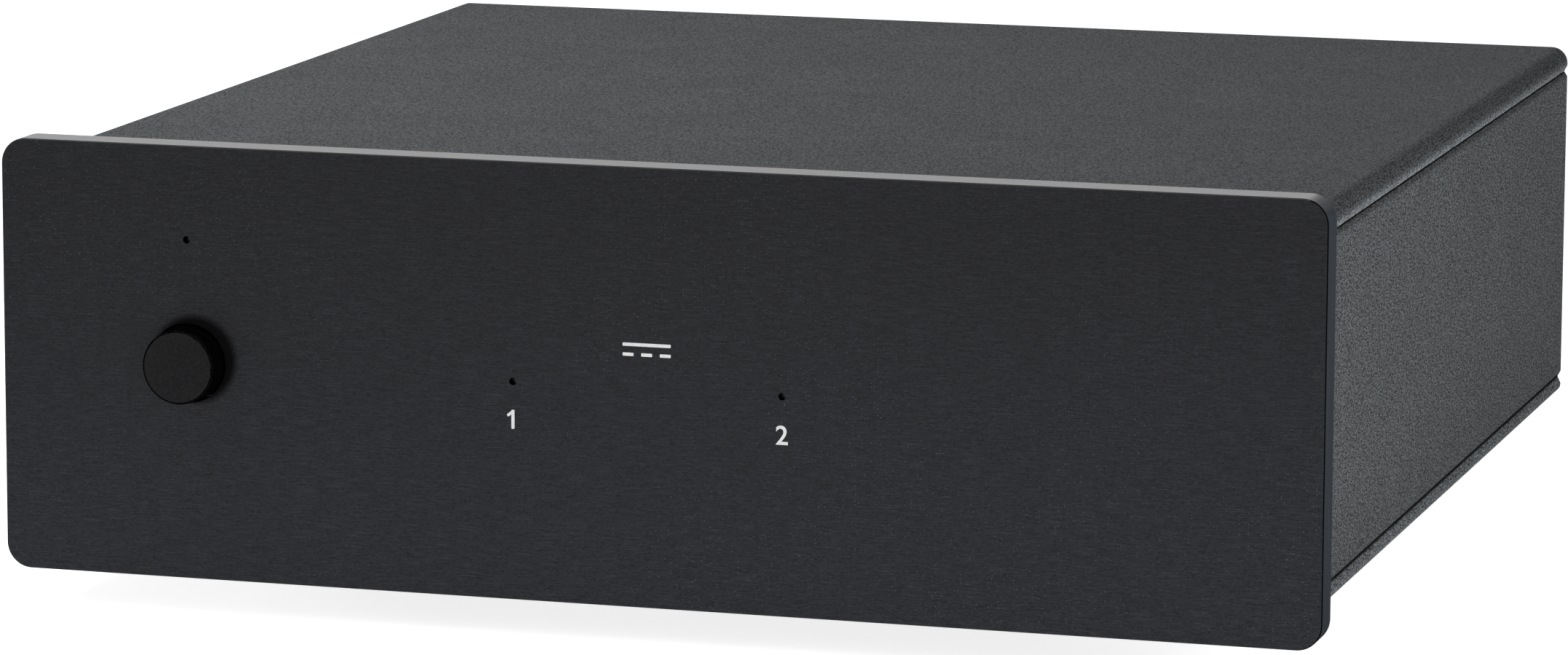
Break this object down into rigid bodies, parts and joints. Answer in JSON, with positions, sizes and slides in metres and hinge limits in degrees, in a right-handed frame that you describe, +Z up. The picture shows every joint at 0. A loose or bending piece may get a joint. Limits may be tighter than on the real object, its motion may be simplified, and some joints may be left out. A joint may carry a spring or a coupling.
{
  "type": "hi-fi power supply box",
  "caption": "Linear power supply box for hi-fi gear: brushed front panel with push button and pinhole lamps, extruded case, mains inlet with fuse drawer, low voltage outputs.",
  "frame": {"origin": "centre of the footprint, on the surface the feet stand on", "axes": "+X to the right seen from the front, +Y to the rear, +Z up; the front panel faces -Y"},
  "size_m": [0.206, 0.2097, 0.072],
  "materials": {
    "panel_black": "brushed, black anodised",
    "case_black": "bead blasted, black anodised",
    "button_black": "matt black",
    "plain_steel": "zinc plated",
    "black_steel": "black oxide",
    "foot_rubber": "matt black rubber",
    "black_plastic": "moulded, fine texture",
    "natural_nylon": "moulded",
    "clear_acrylic": "clear, polished",
    "lamp_blue": "clear tinted",
    "board_green": "solder mask",
    "tinned_brass": "nickel plated",
    "spring_steel": "bright",
    "fuse_glass": "clear glass",
    "core_steel": "wound strip",
    "winding_tape": "copper wire under clear tape",
    "grey_rubber": "soft pad",
    "can_sleeve": "sleeved can",
    "film_yellow": "dipped box",
    "relay_blue": "moulded cover",
    "resistor_blue": "lacquered",
    "sink_black": "extruded, black anodised",
    "block_green": "moulded",
    "lead_brown": "insulated lead",
    "lead_earth": "insulated lead",
    "lead_red": "insulated lead",
    "lead_black": "insulated lead",
    "ribbon_grey": "flat ribbon"
  },
  "bodies": {
    "case": {"front_panel": "panel_black", "top_cover": "case_black", "bottom_cover": "case_black", "left_side_panel": "case_black", "right_side_panel": "case_black", "rear_panel": "case_black", "front_frame": "plain_steel", "case_screws": "black_steel", "feet": "foot_rubber", "foot_screws": "plain_steel", "small_nuts": "plain_steel", "short_screws": "plain_steel", "switch_body": "black_plastic", "switch_spring": "spring_steel", "front_board": "board_green", "front_board_spacers": "plain_steel", "status_lamps": "lamp_blue", "light_pipes": "clear_acrylic", "ribbon_headers": "black_plastic", "ribbon_cable": "ribbon_grey", "mains_inlet": "black_plastic", "inlet_pins": "tinned_brass", "inlet_screws": "black_steel", "fuse_contacts": "tinned_brass", "earth_stud": "plain_steel", "earth_terminal": "tinned_brass", "earth_nut": "plain_steel", "transformer_core": "core_steel", "transformer_winding": "winding_tape", "transformer_pads": "grey_rubber", "transformer_dish": "plain_steel", "transformer_bolt": "plain_steel", "transformer_nut": "plain_steel", "main_board": "board_green", "board_spacers": "plain_steel", "reservoir_capacitors": "can_sleeve", "output_capacitors": "can_sleeve", "bridge_rectifiers": "black_plastic", "film_capacitors": "film_yellow", "relays": "relay_blue", "heatsinks": "sink_black", "regulators": "black_plastic", "mains_terminal": "block_green", "lead_headers": "natural_nylon", "board_fuse": "fuse_glass", "fuse_clips": "tinned_brass", "resistors": "resistor_blue", "dc_sockets": "black_plastic", "dc_socket_pins": "tinned_brass", "dc_socket_nuts": "tinned_brass", "mains_leads": "lead_brown", "earth_lead": "lead_earth", "primary_leads": "lead_red", "secondary_leads": "lead_red", "output_leads": "lead_black"},
    "power_button": {"power_button": "button_black", "switch_plunger": "natural_nylon"},
    "fuse_drawer": {"fuse_drawer": "black_plastic", "fuse_tubes": "fuse_glass", "fuse_caps": "tinned_brass"}
  },
  "joints": [
    {"name": "button_press", "type": "slide", "parent": "case", "child": "power_button", "axis": [0, 1, 0], "range_m": [0, 0.0025], "stiffness_N_per_m": 1000, "deforming": ["switch_spring"]},
    {"name": "fuse_drawer_slide", "type": "slide", "parent": "case", "child": "fuse_drawer", "axis": [0, 1, 0], "range_m": [0, 0.018]}
  ]
}
